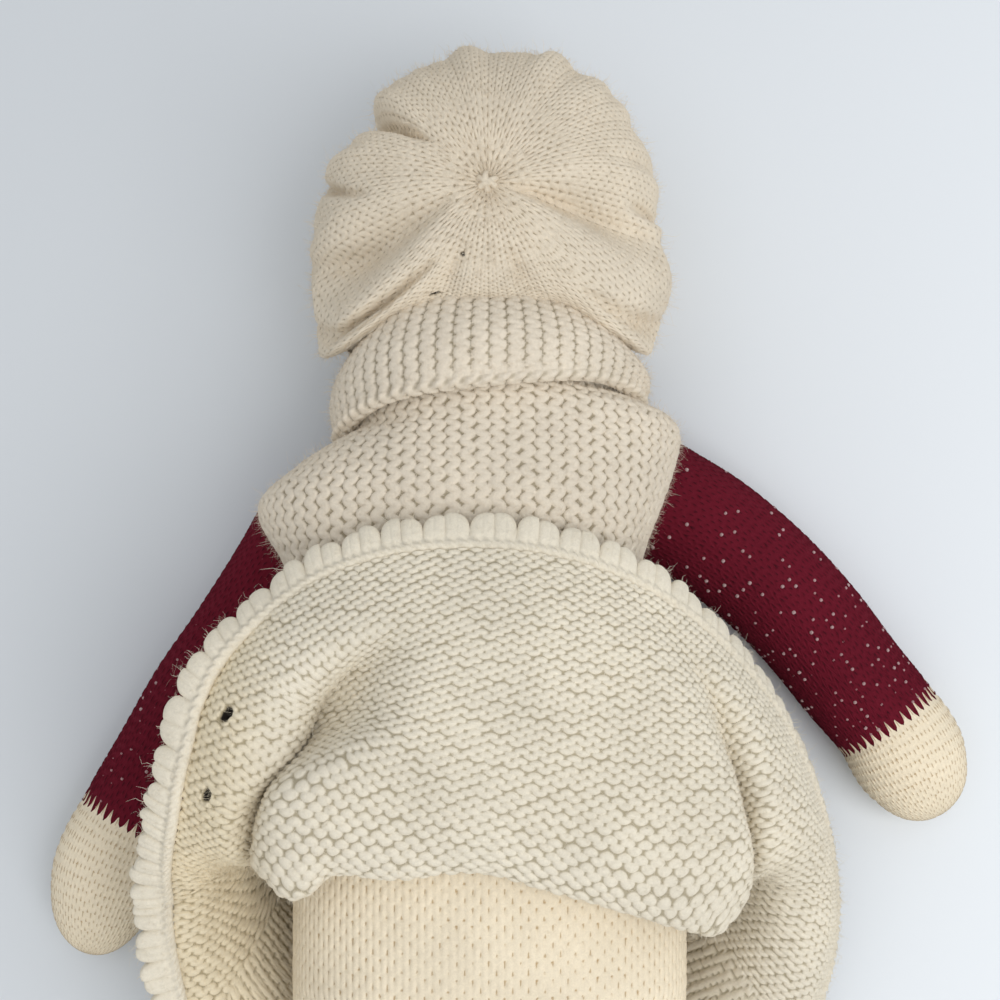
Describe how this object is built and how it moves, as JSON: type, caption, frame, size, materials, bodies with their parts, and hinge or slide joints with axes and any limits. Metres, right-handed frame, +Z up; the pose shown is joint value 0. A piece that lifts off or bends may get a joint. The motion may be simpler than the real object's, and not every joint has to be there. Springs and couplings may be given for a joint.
{
  "type": "prairie doll",
  "caption": "Knitted prairie doll lying face down, in bonnet, shawl and burgundy dress, with its skirt turned up over its back and movable head, arms and legs.",
  "frame": {"origin": "on the table, under the middle of the whole doll's box", "axes": "+Z up from the table, which is the doll's back; +Y towards the crown of the bonnet; +X to the doll's right"},
  "size_m": [0.2854, 0.4678, 0.1008],
  "materials": {
    "bonnet_yarn": "beige-cream acrylic yarn, stocking stitch gathered at the crown, soft matt",
    "shawl_yarn": "beige-cream acrylic yarn in garter stitch, soft matt",
    "skirt_yarn": "cream acrylic yarn, purl side of stocking stitch, soft matt",
    "skin_yarn": "warm cream acrylic yarn in stocking stitch, soft matt",
    "burgundy_yarn": "burgundy acrylic yarn in stocking stitch, soft matt",
    "eye_yarn": "dark embroidery yarn in satin stitch",
    "mouth_yarn": "rose embroidery yarn",
    "hair_yarn": "brown yarn loops",
    "stuffing": "white polyester fibrefill"
  },
  "bodies": {
    "torso": {"torso_stuffing": "stuffing", "bodice": "burgundy_yarn", "lower_body": "skirt_yarn", "skirt_waistband": "skirt_yarn", "skirt": "skirt_yarn", "skirt_border": "skirt_yarn", "shawl": "shawl_yarn", "shawl_collar": "shawl_yarn", "neck_yarn": "skin_yarn"},
    "head": {"head": "skin_yarn", "head_stuffing": "stuffing", "left_eye": "eye_yarn", "right_eye": "eye_yarn", "mouth": "mouth_yarn", "hair_fringe": "hair_yarn", "bonnet_crown": "bonnet_yarn", "bonnet_brim": "bonnet_yarn"},
    "left_arm": {"left_sleeve": "burgundy_yarn", "left_hand": "skin_yarn", "left_arm_stuffing": "stuffing"},
    "left_leg": {"left_leg": "skin_yarn", "left_shoe": "burgundy_yarn", "left_leg_stuffing": "stuffing"},
    "right_arm": {"right_sleeve": "burgundy_yarn", "right_hand": "skin_yarn", "right_arm_stuffing": "stuffing"},
    "right_leg": {"right_leg": "skin_yarn", "right_shoe": "burgundy_yarn", "right_leg_stuffing": "stuffing"}
  },
  "joints": [
    {"name": "neck_turn", "type": "hinge", "parent": "torso", "child": "head", "pos_m": [-0.0067, 0.1451, 0.044], "axis": [0, 1, 0], "range_deg": [-35, 35]},
    {"name": "left_shoulder", "type": "hinge", "parent": "torso", "child": "left_arm", "pos_m": [-0.0615, 0.0881, 0.018], "axis": [0, 0, -1], "range_deg": [0, 60]},
    {"name": "right_shoulder", "type": "hinge", "parent": "torso", "child": "right_arm", "pos_m": [0.0467, 0.0971, 0.018], "axis": [0, 0, 1], "range_deg": [0, 50]},
    {"name": "left_hip", "type": "hinge", "parent": "torso", "child": "left_leg", "pos_m": [-0.0347, -0.0862, 0.0445], "axis": [-1, 0, 0], "range_deg": [0, 60]},
    {"name": "right_hip", "type": "hinge", "parent": "torso", "child": "right_leg", "pos_m": [0.0213, -0.0862, 0.0445], "axis": [-1, 0, 0], "range_deg": [0, 60]}
  ]
}
